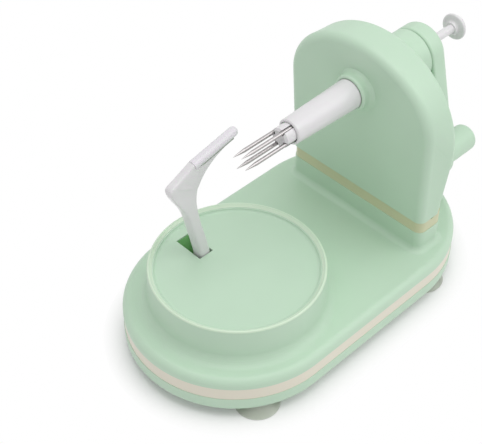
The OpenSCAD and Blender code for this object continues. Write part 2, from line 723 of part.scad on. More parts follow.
// Local frame of one prong, with Z along it from its tip
module prong_at(k) {
    a = -(prong_turn + 90 * k);
    translate([0, mouth_y - prong_reach, spindle_z]) rotate([-90, 0, 0])
        translate([prong_circle * cos(a), prong_circle * sin(a), 0]) children();
}

module fork_prong(k) color(steel) prong_at(k) {
    cylinder(r1 = 0.15, r2 = prong_r - fix_gap, h = prong_point);
    bar_z(0, 0, prong_r - fix_gap, prong_point, prong_reach + pocket_len + prong_hold - 0.5);
}

module spindle_gear() color(acetal) difference() {
    union() {
        tower_gear(0, spindle_z, spindle_teeth, -90);
        bar_y(0, spindle_z, journal_r + 4, inner_f + 1 + face_gap, cover_f - face_gap);
    }
    bar_y(0, spindle_z, journal_r + fix_gap, tower_f, tower_b);
}

// Crank, drawn in a frame with Z to the rear and Y down the crank
module at_crank() translate([0, crank_y, spindle_z]) rotate([0, -crank_angle, 0])
    rotate([-90, 0, 0]) children();

module crank_arm() color(green) difference() {
    at_crank() hull()
        for (q = [[0, 0.8, 4], [0.5, 0.3, 2.1], [1.2, 0, 1.2], [2.4, 0, 0.5], [4.2, 0, 0]])
            translate([0, 0, q[1]]) {
                cylinder(r = hub_r - q[0], h = crank_t - q[1] - q[2], $fn = 64);
                translate([0, crank_len, 0])
                    cylinder(r = crank_end_r - q[0], h = crank_t - q[1] - q[2], $fn = 64);
            }
    bar_y(0, spindle_z, bore_r, crank_y - 1, crank_b + 1);
    translate([-square_side / 2 - fix_gap, crank_y - 1, spindle_z - square_side / 2 - fix_gap])
        cube([square_side + 2 * fix_gap, square_end - crank_y + 1, square_side + 2 * fix_gap]);
    at_crank() {
        bar_z(0, crank_len, grip_axle_r, 2, crank_t + 1);
        translate([0, 0, crank_t * 0.4]) rotate([0, 90, 0]) cylinder(r = screw_r, h = hub_r + 2);
    }
}

module crank_grub_screw() color(steel) at_crank()
    translate([square_side / 2 * sqrt(2) + 0.3, 0, crank_t * 0.4]) rotate([0, 90, 0]) difference() {
        cylinder(r = screw_r - fix_gap, h = 5);
        translate([0, 0, 3.6]) cylinder(r = 0.8, h = 3, $fn = 6);
    }

grip_head_z = crank_t + grip_len - 5.5;
plug_r = grip_head_r + 0.4;

module grip_axle() color(steel) at_crank() {
    bar_z(0, crank_len, grip_axle_r - fix_gap, 2.2, grip_head_z + 0.5);
    bar_z(0, crank_len, grip_head_r, grip_head_z, grip_head_z + 1.6);
}

module crank_grip() color(green) at_crank() translate([0, crank_len, crank_t]) rotate_extrude()
    polygon(concat([[grip_axle_r + run_gap, face_gap]], arc([grip_r - 1, face_gap + 1], 1, -90, 0, 4),
        arc([grip_r - 3.6, face_gap + grip_len - 3.6], 3.6, 0, 90),
        [[plug_r, face_gap + grip_len], [plug_r, grip_head_z - crank_t - 0.4],
        [grip_axle_r + run_gap, grip_head_z - crank_t - 0.4]]));

module grip_end_plug() color(green) at_crank() translate([0, crank_len, crank_t + face_gap + grip_len])
    rotate_extrude() polygon([[0, -1.6], [plug_r - fix_gap, -1.6], [plug_r - fix_gap, 0],
        [plug_r - 0.8, 0.2], [0, 0.4]]);

// Ejector

module ejector_pusher() color(white) difference() {
    about_spindle() polygon([[0, mouth_y - pusher_reach], [pusher_r - 1.3, mouth_y - pusher_reach],
        [pusher_r, mouth_y - pusher_reach + 1], [pusher_r, web_y - face_gap], [0, web_y - face_gap]]);
    for (k = [0:3]) prong_at(k) cylinder(r = prong_r + slide_gap + 0.05, h = prong_reach + 2 * pocket_len);
    bar_y(0, spindle_z, rod_r + fix_gap, mouth_y - 2, web_y);
}

module ejector_rod() color(white) bar_y(0, spindle_z, rod_r, mouth_y - 1.9, rod_end);

module ejector_knob() color(white) difference() {
    about_spindle() polygon([[0, knob_y], [rod_r + 0.95, knob_y], [rod_r + 1.95, knob_y + 2],
        [knob_r - 0.6, knob_y + 2.6], [knob_r, knob_y + 3.2], [knob_r, knob_y + knob_t - 2],
        [knob_r - 0.8, knob_y + knob_t - 1], [knob_r - 3.2, knob_y + knob_t - 0.3], [0, knob_y + knob_t]]);
    bar_y(0, spindle_z, rod_r + fix_gap, knob_y - 1, rod_end + 0.2);
}

// Drive train

module idler_gear() color(acetal) difference() {
    rim = gear_m * idler_teeth / 2 - 6;
    hub = axle_r + 5;
    union() {
        tower_gear(0, idler_z, idler_teeth, idler_turn);
        bar_y(0, idler_z, hub, gear_f - 1, gear_b + 1);
    }
    for (y = [gear_f - 2, gear_b - 2]) difference() {
        bar_y(0, idler_z, rim, y, y + 4);
        bar_y(0, idler_z, hub + 1.5, y - 1, y + 5);
    }
    for (k = [0:4]) translate([0, 0, idler_z]) rotate([0, 72 * k, 0])
        bar_y((rim + hub) / 2 + 0.5, 0, (rim - hub) / 2 - 6.3, gear_f - 1, gear_b + 1);
    bar_y(0, idler_z, axle_r + run_gap, tower_f, tower_b);
}

module layshaft() color(steel) bar_y(lay_x, lay_z, shaft_r, -worm_len / 2 - bearing_w - 3,
    gear_b + 3 * face_gap + rear_bearing_w);

module layshaft_gear() color(acetal) difference() {
    union() {
        tower_gear(lay_x, lay_z, lay_teeth, lay_turn);
        bar_y(lay_x, lay_z, shaft_r + 3.5, inner_f + face_gap, tower_y);
    }
    bar_y(lay_x, lay_z, shaft_r + fix_gap, tower_f, tower_b);
}

// Single start right-hand thread with a ridge that faces the wheel at mid length
module worm() color(acetal) difference() {
    translate([lay_x, worm_len / 2, lay_z]) rotate([90, 0, 0])
        rotate([0, 0, 180 - 180 * worm_len / worm_pitch])
        linear_extrude(worm_len, twist = -360 * worm_len / worm_pitch, slices = 60, $fn = 12)
            polygon([for (i = [0:23]) let (a = i * 15 - 180, w = abs(a),
                r = w < 45 ? worm_r + wheel_m * 0.9 : w > 105 ? worm_r - wheel_m * 1.15 :
                    worm_r + wheel_m * (0.9 - 2.05 * (w - 45) / 60)) [r * cos(a), r * sin(a)]]);
    bar_y(lay_x, lay_z, shaft_r + fix_gap, -worm_len, worm_len);
}

// Turntable

module turntable_disc() color(green) {
    skirt_z = disc_under - skirt_h;
    skirt_x = slot_out - skirt_wall;
    lap_z = rim_z - step_h + disc_gap;
    difference() {
        union() {
            rotate_extrude() polygon(concat([[0, disc_under], [disc_r - 0.8, disc_under],
                [disc_r, disc_under + 0.8], [disc_r, lap_z], [lap_r, lap_z], [lap_r, lip_z - 0.4],
                [lap_r - 0.4, lip_z], [lap_r - lip_w + 0.3, lip_z]],
                arc([lap_r - lip_w - lip_z + disc_z, lip_z], lip_z - disc_z, -6, -90), [[0, disc_z]]));
            translate([skirt_x, slot_y - skirt_wall, skirt_z])
                cube([-slot_in + skirt_wall - skirt_x, slot_w + 2 * skirt_wall, skirt_h + 1]);
        }
        translate([slot_out, slot_y, skirt_z - 1])
            cube([-slot_in - slot_out, slot_w, disc_z - skirt_z + 2]);
        for (k = [0:2]) rotate([0, 0, 120 * k])
            bar_z(flange_circle, 0, screw_r, disc_under - 1, disc_under + disc_t - 0.8);
    }
    for (s = [-1, 1]) difference() {
        translate([-arm_x - 5, stem_y + (s > 0 ? stem_w / 2 + ear_gap - 0.8 : -stem_w / 2 - 1.8 - ear_t),
            pivot_z - pivot_r - 2.7]) cube([10, ear_t, disc_under - pivot_z + pivot_r + 2.9]);
        bar_y(-arm_x, pivot_z, pivot_r, -30, 30);
    }
}

module turntable_hub() color(acetal) difference() {
    union() {
        bar_z(0, 0, hub_out, floor_z + post_base_h + washer_t + face_gap, disc_under);
        bar_z(0, 0, flange_r, disc_under - flange_t, disc_under);
        bar_z(0, 0, hub_out + 3, lay_z + wheel_w / 2, lay_z + wheel_w / 2 + 2);
    }
    bar_z(0, 0, post_r + run_gap, 0, disc_z);
    bar_z(0, 0, post_r + 2.8, post_top - 0.3, disc_z);
    for (k = [0:2]) rotate([0, 0, 120 * k])
        bar_z(flange_circle, 0, screw_r + 0.1, disc_under - flange_t - 1, disc_z);
}

module turntable_screws() color(steel) for (k = [0:2]) rotate([0, 0, 120 * k]) {
    bar_z(flange_circle, 0, screw_head_r, disc_under - flange_t - screw_head_t, disc_under - flange_t);
    bar_z(flange_circle, 0, screw_r - fix_gap, disc_under - flange_t - 1, disc_under + disc_t - 1);
}

module worm_wheel() color(acetal) translate([0, 0, lay_z - wheel_w / 2]) difference() {
    linear_extrude(wheel_w) rotate([0, 0, 180 / wheel_teeth])
        polygon(gear_line(wheel_teeth, wheel_m, worm_play));
    bar_z(0, 0, hub_out + fix_gap, -1, wheel_w + 1);
    for (k = [0:5]) rotate([0, 0, 60 * k])
        bar_z((wheel_r - 3 + hub_out + 2) / 2, 0, (wheel_r - 5 - hub_out) / 2 - 1.5, -1, wheel_w + 1);
}

// Peeler arm

module arm_pivot_pin() color(steel) bar_y(-arm_x, pivot_z, pivot_r - fix_gap,
    stem_y - stem_w / 2 - 1.9 - ear_t, stem_y + stem_w / 2 + ear_gap - 0.9 + ear_t);

// Torsion spring beside the stem: one leg presses on the arm's outer face, the other under the disc
module arm_spring() color(steel) translate([-arm_x, stem_y + stem_w / 2, pivot_z]) {
    side = -stem_t / 2 - spring_wire_r - 0.45;
    run = ear_gap - 0.8 - 2 * spring_wire_r - 0.8;
    start = spring_wire_r + 0.55;
    wire(concat(
        [[side, -3.6, 9.5], [side, -0.6, 9.5], [side, 0.9, 8.8], [side + 0.6, start - 0.1, 5]],
        [for (i = [0:36]) let (a = 180 + 30 * i)
            [spring_r * cos(a), start + run * i / 36, spring_r * sin(a)]],
        [[0.4 - spring_r, start + run + 0.05, 8], [0.4 - spring_r, start + run + 0.05, pivot_drop - 0.7]]),
        spring_wire_r);
}

// Stations of the arm: left and right edge as Y and height, and half thickness. The stem's rows are
// shares of its width and thickness. The web's rows are heights above the disc, and its last rows
// run along the seat of the blade bar
stem_rows = [
    [-0.65, -4.6, 0.65, -4.6, 0.65], [-1, -3.2, 1, -3.2, 0.95], [-1, 3, 1, 3, 1], [-1, 12, 1, 12, 1]];
web_rows = [
    [-7.1, 0, 0.9, -0.5, 4], [-8.4, 7, -0.6, 6, 4], [-10.3, 16, -2.7, 15, 4], [-12.4, 25, -4.9, 23.6, 3.9],
    [-14.9, 35, -6.7, 33.4, 3.7], [-18.2, 42.4, -7.6, 40.6, 3.5], [-21.4, 48, -7.4, 44, 3.2],
    [-23.8, 52.6, -7, 46.6, 2.9], [-25.3, 57, -6.6, 48.6, 2.7], [-24.6, 60, -6.2, 50, 2.6],
    [-18.4, 62.9, -5.6, 51, 2.4], [-12.6, 65.8, -5, 51.8, 2.2], [-8.2, 68, -4.4, 52.8, 2]];
seat_rows = [
    [-7.3, -3.4, 54.1, 1.3], [-4, -0.4, 57.6, 1.2], [0, 3.2, 60.6, 1.2], [6, 8.4, 63.7, 1.2],
    [13, 14.6, 66.4, 1.2], [20, 20.8, 68.6, 1.1]];
arm_rows = concat(
    [for (q = stem_rows) [stem_y + q[0] * stem_w / 2, pivot_z + q[1], stem_y + q[2] * stem_w / 2,
        pivot_z + q[3], q[4] * stem_t / 2]],
    [for (q = web_rows) let (k = q[1] < 30 ? stem_w / 8 : arm_k, c = arm_y + arm_k * (q[0] + q[2]) / 2,
        half = k * (q[2] - q[0]) / 2)
        [c - half, disc_z + arm_k * q[1], c + half, disc_z + arm_k * q[3], q[4] * stem_t / 8]],
    [for (q = seat_rows) let (y = arm_y + arm_k * q[0])
        [y, bar_z + (y - bar_root_y) * tan(bar_tilt) - seat_gap, arm_y + arm_k * q[1],
            disc_z + arm_k * q[2], q[3] * stem_t / 8]]);

module peeler_arm() color(white) difference() {
    sides = 16;
    pts = [for (q = arm_rows) each [for (k = [0:sides - 1]) let (
        c = cos(360 * k / sides), s = sin(360 * k / sides),
        u = sign(c) * pow(abs(c), 0.55), v = sign(s) * pow(abs(s), 0.55))
        [-arm_x - v * q[4], (q[0] + q[2]) / 2 + u * (q[2] - q[0]) / 2,
            (q[1] + q[3]) / 2 + u * (q[3] - q[1]) / 2]]];
    polyhedron(pts, tube_faces(len(arm_rows), sides));
    bar_y(-arm_x, pivot_z, pivot_r + run_gap, -20, 10);
}

// Local frame on the blade bar: X across the arm, Y along the bar, Z up from its underside
module on_bar() translate([-arm_x + 0.2, bar_root_y, bar_z]) rotate([bar_tilt, 0, 0]) children();
rivet_spots = [5, bar_len - 7];
blade_x = 1.2;
bar_half = concat([[0, 0]], arc([bar_w / 2 - bar_edge_r, bar_edge_r], bar_edge_r, -90, 0),
    arc([bar_w / 2 - bar_edge_r, bar_h - bar_edge_r], bar_edge_r, 0, 90), [[0, bar_h]]);

module rivet_holes(r) for (y = rivet_spots) translate([-bar_w, y, 1.3]) rotate([0, 90, 0])
    cylinder(r = r, h = 2 * bar_w);

module blade_bar() color(white) on_bar() difference() {
    union() {
        rotate([-90, 0, 0]) translate([0, -bar_h / 2, 0]) linear_extrude(bar_len - bar_w / 2)
            polygon(soft_box(bar_w, bar_h, bar_edge_r));
        translate([0, bar_len - bar_w / 2, 0]) rotate_extrude(angle = 180) polygon(bar_half);
    }
    translate([blade_x - slide_gap / 6, 2, -1]) cube([blade_t + slide_gap / 3, bar_len - 6, 3.2]);
    rivet_holes(rivet_r);
}

module blade() color(steel) on_bar() difference() {
    translate([blade_x, 2.05, -1.1]) cube([blade_t, bar_len - 6.1, 3.2]);
    translate([blade_x + blade_t, 0, -1.1]) rotate([0, -30, 0]) translate([0, 0, -2]) cube([2, bar_len, 2]);
    rivet_holes(rivet_r);
}

module blade_rivets() color(steel) on_bar() for (y = rivet_spots)
    translate([0.1 - bar_w / 2, y, 1.3]) rotate([0, 90, 0]) cylinder(r = rivet_r - fix_gap, h = bar_w - 0.2);

placed() base_tray();
placed() base_trim_band();
placed() base_top_shell();
for (i = [0:3]) placed() suction_foot(foot_spots[i]);
placed() tray_screws();
placed() tower_trim_band();
placed() tower_housing();
placed() tower_rear_cover();
placed() tower_cover_screws();
placed() tower_base_screws();
placed() spindle_front_bush();
placed() spindle_rear_bush();
placed() idler_axle();
placed() layshaft_front_bearing();
placed() layshaft_rear_bearing();
placed() turntable_post();
placed() turntable_post_screw();
placed() thrust_washer();
placed() spindle_tube();
for (i = [0:3]) placed() fork_prong(i);
placed() spindle_gear();
placed() crank_arm();
placed() crank_grub_screw();
placed() grip_axle();
placed() crank_grip();
placed() grip_end_plug();
placed() ejector_pusher();
placed() ejector_rod();
placed() ejector_knob();
placed() idler_gear();
placed() layshaft();
placed() layshaft_gear();
placed() worm();
placed() turntable_disc();
placed() turntable_hub();
placed() turntable_screws();
placed() worm_wheel();
placed() arm_pivot_pin();
placed() arm_spring();
placed() peeler_arm();
placed() blade_bar();
placed() blade();
placed() blade_rivets();
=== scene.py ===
"""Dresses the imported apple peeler: finishes, sculpted mouldings, floor, light and camera.

Lengths are millimetres in the part's own frame and become metres where a mesh is made. The studio's
lengths are metres. Angles are degrees.
"""

from __future__ import annotations

import json
import logging
import math
from collections.abc import Iterable, Mapping, Sequence
from dataclasses import dataclass
from enum import Enum
from typing import Any

import bmesh
import bpy
import numpy as np
from mathutils import Matrix, Vector


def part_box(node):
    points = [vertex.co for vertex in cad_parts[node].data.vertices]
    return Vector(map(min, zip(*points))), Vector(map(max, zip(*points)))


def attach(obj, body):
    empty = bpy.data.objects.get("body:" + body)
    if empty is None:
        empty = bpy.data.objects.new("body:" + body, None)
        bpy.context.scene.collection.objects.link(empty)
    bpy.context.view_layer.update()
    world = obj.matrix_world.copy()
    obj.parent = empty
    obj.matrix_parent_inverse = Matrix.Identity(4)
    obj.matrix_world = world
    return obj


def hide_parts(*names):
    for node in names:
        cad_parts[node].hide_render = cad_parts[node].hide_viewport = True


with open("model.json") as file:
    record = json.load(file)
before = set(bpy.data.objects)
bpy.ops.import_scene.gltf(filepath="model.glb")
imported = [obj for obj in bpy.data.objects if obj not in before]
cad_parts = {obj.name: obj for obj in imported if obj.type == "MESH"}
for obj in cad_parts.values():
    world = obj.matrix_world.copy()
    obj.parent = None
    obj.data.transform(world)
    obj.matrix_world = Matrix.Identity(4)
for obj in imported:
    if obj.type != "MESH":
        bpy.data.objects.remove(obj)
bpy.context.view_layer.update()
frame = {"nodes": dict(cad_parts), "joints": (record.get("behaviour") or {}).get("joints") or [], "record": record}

Array = np.ndarray
Color = tuple[float, float, float]
Point = tuple[float, float, float]
Pair = tuple[float, float]
Rows = tuple[tuple[float, ...], ...]
LOG = logging.getLogger("apple_peeler")
MM = 0.001
MERGE_MM = 0.002
SLIVER_MM = 0.001
WHITE_LIGHT = (1.0, 1.0, 1.0, 1.0)
MIX_LOW, MIX_HIGH, MIX_RESULT = 6, 7, 2  # colour sockets of the Mix node


class Slot(Enum):
    """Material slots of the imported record."""

    SHELL = "shell_green"
    TRIM = "trim_cream"
    FOOT = "foot_rubber"
    WHITE = "white_plastic"
    FORK = "fork_steel"
    HARDWARE = "hardware_steel"
    GEAR = "gear_acetal"


class Body(Enum):
    """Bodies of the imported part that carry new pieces."""

    FRAME = "frame"
    SPINDLE = "spindle"
    EJECTOR = "ejector"
    TURNTABLE = "turntable"
    ARM = "arm"


# Shader maths


class Term:
    """A node socket that takes part in Python arithmetic by adding Math nodes."""

    def __init__(self, graph: Graph, socket: bpy.types.NodeSocket) -> None:
        """Wraps one output socket of a graph."""
        self.graph = graph
        self.socket = socket

    def _math(self, operation: str, *values: Any) -> Term:
        """Adds one Math node for an operation on the given values."""
        return self.graph.node("ShaderNodeMath", {"operation": operation}, dict(enumerate(values)))

    def __add__(self, other: Any) -> Term:
        """Sum."""
        return self._math("ADD", self, other)

    __radd__ = __add__

    def __sub__(self, other: Any) -> Term:
        """Difference."""
        return self._math("SUBTRACT", self, other)

    def __rsub__(self, other: Any) -> Term:
        """Difference with the number first."""
        return self._math("SUBTRACT", other, self)

    def __mul__(self, other: Any) -> Term:
        """Product."""
        return self._math("MULTIPLY", self, other)

    __rmul__ = __mul__

    def clipped(self) -> Term:
        """The value held between 0 and 1."""
        return self.graph.node("ShaderNodeMath", {"operation": "ADD", "use_clamp": True}, {0: self, 1: 0.0})


class Graph:
    """The node tree of one material, or of the world."""

    def __init__(self, owner: bpy.types.Material | bpy.types.World) -> None:
        """Starts an empty tree.

        Args:
            owner: Material or world that takes the tree.
        """
        self.owner = owner
        owner.use_nodes = True
        self.tree = owner.node_tree
        self.tree.nodes.clear()

    def node(
        self, kind: str, settings: Mapping[str, Any] | None = None,
        values: Mapping[int | str, Any] | None = None, out: int | str = 0,
    ) -> Term:
        """Adds any node.

        Args:
            kind: Blender's type name of the node.
            settings: Properties set before the sockets.
            values: Socket names or numbers with a constant or a term to link.
            out: Output socket to hand back.

        Returns:
            The chosen output as a term.
        """
        made = self.tree.nodes.new(kind)
        for key, value in (settings or {}).items():
            setattr(made, key, value)
        for key, value in (values or {}).items():
            if isinstance(value, Term):
                self.tree.links.new(value.socket, made.inputs[key])
            else:
                made.inputs[key].default_value = value
        return Term(self, made.outputs[out])

    def place(self, stretch: Point = (1.0, 1.0, 1.0)) -> Term:
        """Object coordinates in metres, stretched along each axis."""
        here = self.node("ShaderNodeTexCoord", out="Object")
        return self.node("ShaderNodeMapping", values={"Vector": here, "Scale": stretch})

    def seen(self) -> Term:
        """Picks out the rays that the camera, steel or vinyl sends to the background.

        Returns:
            1 for those rays, 0 for light.
        """
        rays = ("Camera", "Glossy", "Transmission")
        camera, glossy, clear = (self.node("ShaderNodeLightPath", out=f"Is {ray} Ray") for ray in rays)
        return (camera + glossy + clear).clipped()

    def noise(self, at: Term, per_metre: float, detail: float = 2.0, rough: float = 0.5) -> Term:
        """Fractal noise with so many lumps to the metre."""
        values = {"Vector": at, "Scale": per_metre, "Detail": detail, "Roughness": rough}
        return self.node("ShaderNodeTexNoise", values=values)

    def tint(self, factor: Term, low: Color, high: Color) -> Term:
        """A colour that runs from low to high with a factor."""
        return self.node(
            "ShaderNodeMix", {"data_type": "RGBA"},
            {"Factor": factor, MIX_LOW: (*low, 1.0), MIX_HIGH: (*high, 1.0)}, out=MIX_RESULT,
        )

    def bump(self, height: Term, depth: float) -> Term:
        """A bump normal from a height, with its depth in millimetres."""
        values = {"Height": height, "Strength": 1.0, "Distance": depth * MM}
        return self.node("ShaderNodeBump", values=values)

    def finish(self, values: Mapping[str, Any]) -> bpy.types.Material:
        """Adds the Principled shader and the output.

        Args:
            values: Sockets of the Principled shader.

        Returns:
            The finished material.
        """
        self.close(self.node("ShaderNodeBsdfPrincipled", values=values))
        return self.owner

    def close(self, shader: Term) -> None:
        """Links a shader to the output that suits the owner.

        Args:
            shader: What the owner's surface shows.
        """
        kind = "World" if isinstance(self.owner, bpy.types.World) else "Material"
        made = self.tree.nodes.new(f"ShaderNodeOutput{kind}")
        self.tree.links.new(shader.socket, made.inputs["Surface"])


def linear(red: int, green: int, blue: int) -> Color:
    """Linear light of an 8 bit display colour: a line near black and a power curve above it.

    Args:
        red: Red from 0 to 255.
        green: Green from 0 to 255.
        blue: Blue from 0 to 255.

    Returns:
        The three channels from 0 to 1.
    """
    share = np.array([red, green, blue]) / 255.0
    light = np.where(share <= 0.04045, share / 12.92, ((share + 0.055) / 1.055) ** 2.4)
    return tuple(float(v) for v in light)


def scaled(color: Color, by: float) -> Color:
    """A colour made lighter or darker."""
    return tuple(min(1.0, channel * by) for channel in color)


@dataclass(frozen=True)
class MouldedPlastic:
    """Injection moulded plastic: fine spark texture, faint flow clouds and a satin sheen.

    Counts are lumps to the metre.
    """

    name: str
    color: Color
    roughness: float = 0.42
    cloud: float = 0.035
    texture_mm: float = 0.35
    texture_depth: float = 0.006
    coat: float = 0.0
    coat_roughness: float = 0.25
    soft: float = 0.08
    soft_mm: float = 1.2
    soft_reach: Color = (0.6, 1.0, 0.6)
    ior: float = 1.5
    cloud_count: float = 22.0
    scuff_count: float = 160.0
    scuff_stretch: Point = (1.0, 0.35, 1.0)
    gloss_gain: float = 0.07
    grain_dull: float = 0.08
    scuff_dull: float = 0.06

    def make(self) -> bpy.types.Material:
        """Builds the material.

        Returns:
            Plastic whose colour follows slow clouds and whose gloss follows the texture.
        """
        graph = Graph(bpy.data.materials.new(self.name))
        at = graph.place()
        clouds = graph.noise(at, self.cloud_count, detail=3.0, rough=0.55)
        grain = graph.noise(at, 1.0 / (self.texture_mm * MM), rough=0.6)
        scuffs = graph.noise(graph.place(self.scuff_stretch), self.scuff_count, detail=4.0, rough=0.7)
        low, high = scaled(self.color, 1 - self.cloud), scaled(self.color, 1 + self.cloud)
        dull = self.roughness - self.gloss_gain + grain * self.grain_dull + scuffs * self.scuff_dull
        return graph.finish({
            "Base Color": graph.tint(clouds, low, high),
            "Roughness": dull.clipped(),
            "Normal": graph.bump(grain, self.texture_depth),
            "Coat Weight": self.coat,
            "Coat Roughness": self.coat_roughness,
            "Subsurface Weight": self.soft,
            "Subsurface Radius": self.soft_reach,
            "Subsurface Scale": self.soft_mm * MM,
            "IOR": self.ior,
        })


@dataclass(frozen=True)
class DrawnSteel:
    """Bright steel with fine lines along the direction it was drawn or ground.

    Counts are lumps to the metre.
    """

    name: str
    color: Color
    roughness: float
    line_stretch: Point
    line_depth: float = 0.002
    line_count: float = 2600.0
    line_dull: float = 0.12
    gloss_gain: float = 0.06
    stain_count: float = 130.0
    stain: Pair = (0.92, 1.06)

    def make(self) -> bpy.types.Material:
        """Builds the material.

        Returns:
            Metal whose gloss and normal follow fine lines.
        """
        graph = Graph(bpy.data.materials.new(self.name))
        lines = graph.noise(graph.place(self.line_stretch), self.line_count, detail=3.0, rough=0.6)
        stains = graph.noise(graph.place(), self.stain_count)
        low, high = (scaled(self.color, by) for by in self.stain)
        return graph.finish({
            "Base Color": graph.tint(stains, low, high),
            "Metallic": 1.0,
            "Roughness": (self.roughness - self.gloss_gain + lines * self.line_dull).clipped(),
            "Normal": graph.bump(lines, self.line_depth),
        })


@dataclass(frozen=True)
class SoftVinyl:
    """Cloudy, half clear vinyl of the suction feet. Counts are lumps to the metre."""

    name: str
    color: Color
    clear: float = 0.45
    ior: float = 1.46
    roughness: float = 0.24
    cloud_count: float = 120.0
    cloud: Pair = (0.94, 1.05)
    dust_count: float = 1900.0
    dust_dull: float = 0.16
    dust_depth: float = 0.004

    def make(self) -> bpy.types.Material:
        """Builds the material.

        Returns:
            A translucent shader with slow clouds and dust in its gloss.
        """
        graph = Graph(bpy.data.materials.new(self.name))
        clouds = graph.noise(graph.place(), self.cloud_count, detail=3.0, rough=0.6)
        dust = graph.noise(graph.place(), self.dust_count, rough=0.6)
        low, high = (scaled(self.color, by) for by in self.cloud)
        return graph.finish({
            "Base Color": graph.tint(clouds, low, high),
            "Roughness": (self.roughness + dust * self.dust_dull).clipped(),
            "Normal": graph.bump(dust, self.dust_depth),
            "Transmission Weight": self.clear,
            "IOR": self.ior,
        })


FINISHES: dict[Slot, MouldedPlastic | DrawnSteel | SoftVinyl] = {
    Slot.SHELL: MouldedPlastic("satin_green_shell", linear(192, 218, 195)),
    Slot.TRIM: MouldedPlastic("cream_trim", linear(228, 222, 206), roughness=0.36, cloud=0.03),
    Slot.WHITE: MouldedPlastic(
        "white_gloss_plastic", linear(224, 222, 224), roughness=0.3, cloud=0.015,
        texture_mm=0.5, texture_depth=0.003, coat=0.15),
    Slot.GEAR: MouldedPlastic("natural_acetal", linear(232, 228, 216), roughness=0.38, cloud=0.02),
    Slot.FORK: DrawnSteel(
        "bright_fork_steel", (0.42, 0.40, 0.40), roughness=0.26, line_stretch=(1.0, 0.03, 1.0)),
    Slot.HARDWARE: DrawnSteel(
        "plated_steel", (0.60, 0.60, 0.60), roughness=0.34, line_stretch=(1.0, 1.0, 0.2)),
    Slot.FOOT: SoftVinyl("cloudy_vinyl", linear(212, 219, 205)),
}

# Pieces, packed or new, whose finish isn't that of their slot
PIECE_FINISHES: dict[str, MouldedPlastic] = {
    "blade_bar": MouldedPlastic(
        "smooth_white_bar", linear(224, 221, 226), roughness=0.4, cloud=0.01, texture_depth=0.0004),
    # Lighter green on the rim bead: a painted highlight along its top
    "drum_bead": MouldedPlastic("painted_highlight_bead", linear(212, 232, 208), roughness=0.3),
    # Dark green on the slot guard: painted shade inside the slot
    "slot_guard_painted_shade": MouldedPlastic("painted_shade_slot_green", linear(107, 169, 100), roughness=0.5),
    # Cream turned olive green on the tower's band: painted green light reflected from the shell into its shade
    "tower_trim_band": MouldedPlastic(
        "painted_green_reflection_band", linear(204, 206, 170), roughness=0.4, cloud=0.03),
}


class Dresser:
    """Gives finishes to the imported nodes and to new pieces."""

    def __init__(self) -> None:
        """Makes each finish once."""
        self.made = {slot: finish.make() for slot, finish in FINISHES.items()}
        self.own = {name: finish.make() for name, finish in PIECE_FINISHES.items()}

    def paint(self, piece: bpy.types.Object, slot: Slot) -> None:
        """Puts one finish on all of a piece: its own, or that of its slot.

        Args:
            piece: Object to paint.
            slot: Slot of the piece.
        """
        piece.data.materials.clear()
        piece.data.materials.append(self.own.get(piece.name, self.made[slot]))

    def paint_nodes(self) -> None:
        """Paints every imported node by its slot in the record."""
        for entry in frame["record"]["subparts"]:
            piece = frame["nodes"][entry["node"]]
            self.paint(piece, Slot(entry["material_slot"]))


# Surfaces


def box_mm(node: str) -> tuple[Array, Array]:
    """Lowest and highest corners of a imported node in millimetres."""
    low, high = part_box(node)
    return np.array(low) / MM, np.array(high) / MM


def middle_mm(node: str) -> Array:
    """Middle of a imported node's box in millimetres."""
    low, high = box_mm(node)
    return (low + high) / 2


def arc(centre: Sequence[float], radius: float, start: float, end: float, count: int = 12) -> Array:
    """Points on a circle's arc between two angles in degrees."""
    angle = np.radians(np.linspace(start, end, count))
    return np.column_stack((centre[0] + radius * np.cos(angle), centre[1] + radius * np.sin(angle)))


def join(*runs: Iterable[Sequence[float]]) -> Array:
    """One list of points from several runs."""
    return np.vstack([np.asarray(run, float) for run in runs])


def smooth_rows(rows: Array, per_span: int) -> Array:
    """Catmull-Rom curve through rows of numbers: a cubic in each span that leaves each row
    along the line between its two neighbours.

    Args:
        rows: One row of numbers for each station.
        per_span: Steps between neighbouring stations.

    Returns:
        The finer rows, with both end stations kept.
    """
    padded = np.vstack((2 * rows[0] - rows[1], rows, 2 * rows[-1] - rows[-2]))
    place = np.linspace(0, len(rows) - 1, (len(rows) - 1) * per_span + 1)
    span = np.minimum(place.astype(int), len(rows) - 2)
    t = (place - span)[:, None]
    a, b, c, d = (padded[span + k] for k in range(4))
    return 0.5 * (2 * b + (c - a) * t + (2 * a - 5 * b + 4 * c - d) * t**2 + (3 * b - 3 * c + d - a) * t**3)


def grid_faces(rows: int, columns: int, wrap_rows: bool, wrap_columns: bool) -> Array:
    """Quads between neighbouring points of a grid, numbered row by row.

    Args:
        rows: Rows of points.
        columns: Points in a row.
        wrap_rows: Whether the last row joins the first.
        wrap_columns: Whether the last column joins the first.

    Returns:
        Four point numbers for each quad.
    """
    row = np.arange(rows if wrap_rows else rows - 1)[:, None]
    column = np.arange(columns if wrap_columns else columns - 1)[None, :]
    down, right = (row + 1) % rows, (column + 1) % columns
    quads = [row * columns + column, row * columns + right, down * columns + right, down * columns + column]
    return np.stack(np.broadcast_arrays(*quads), axis=-1).reshape(-1, 4)


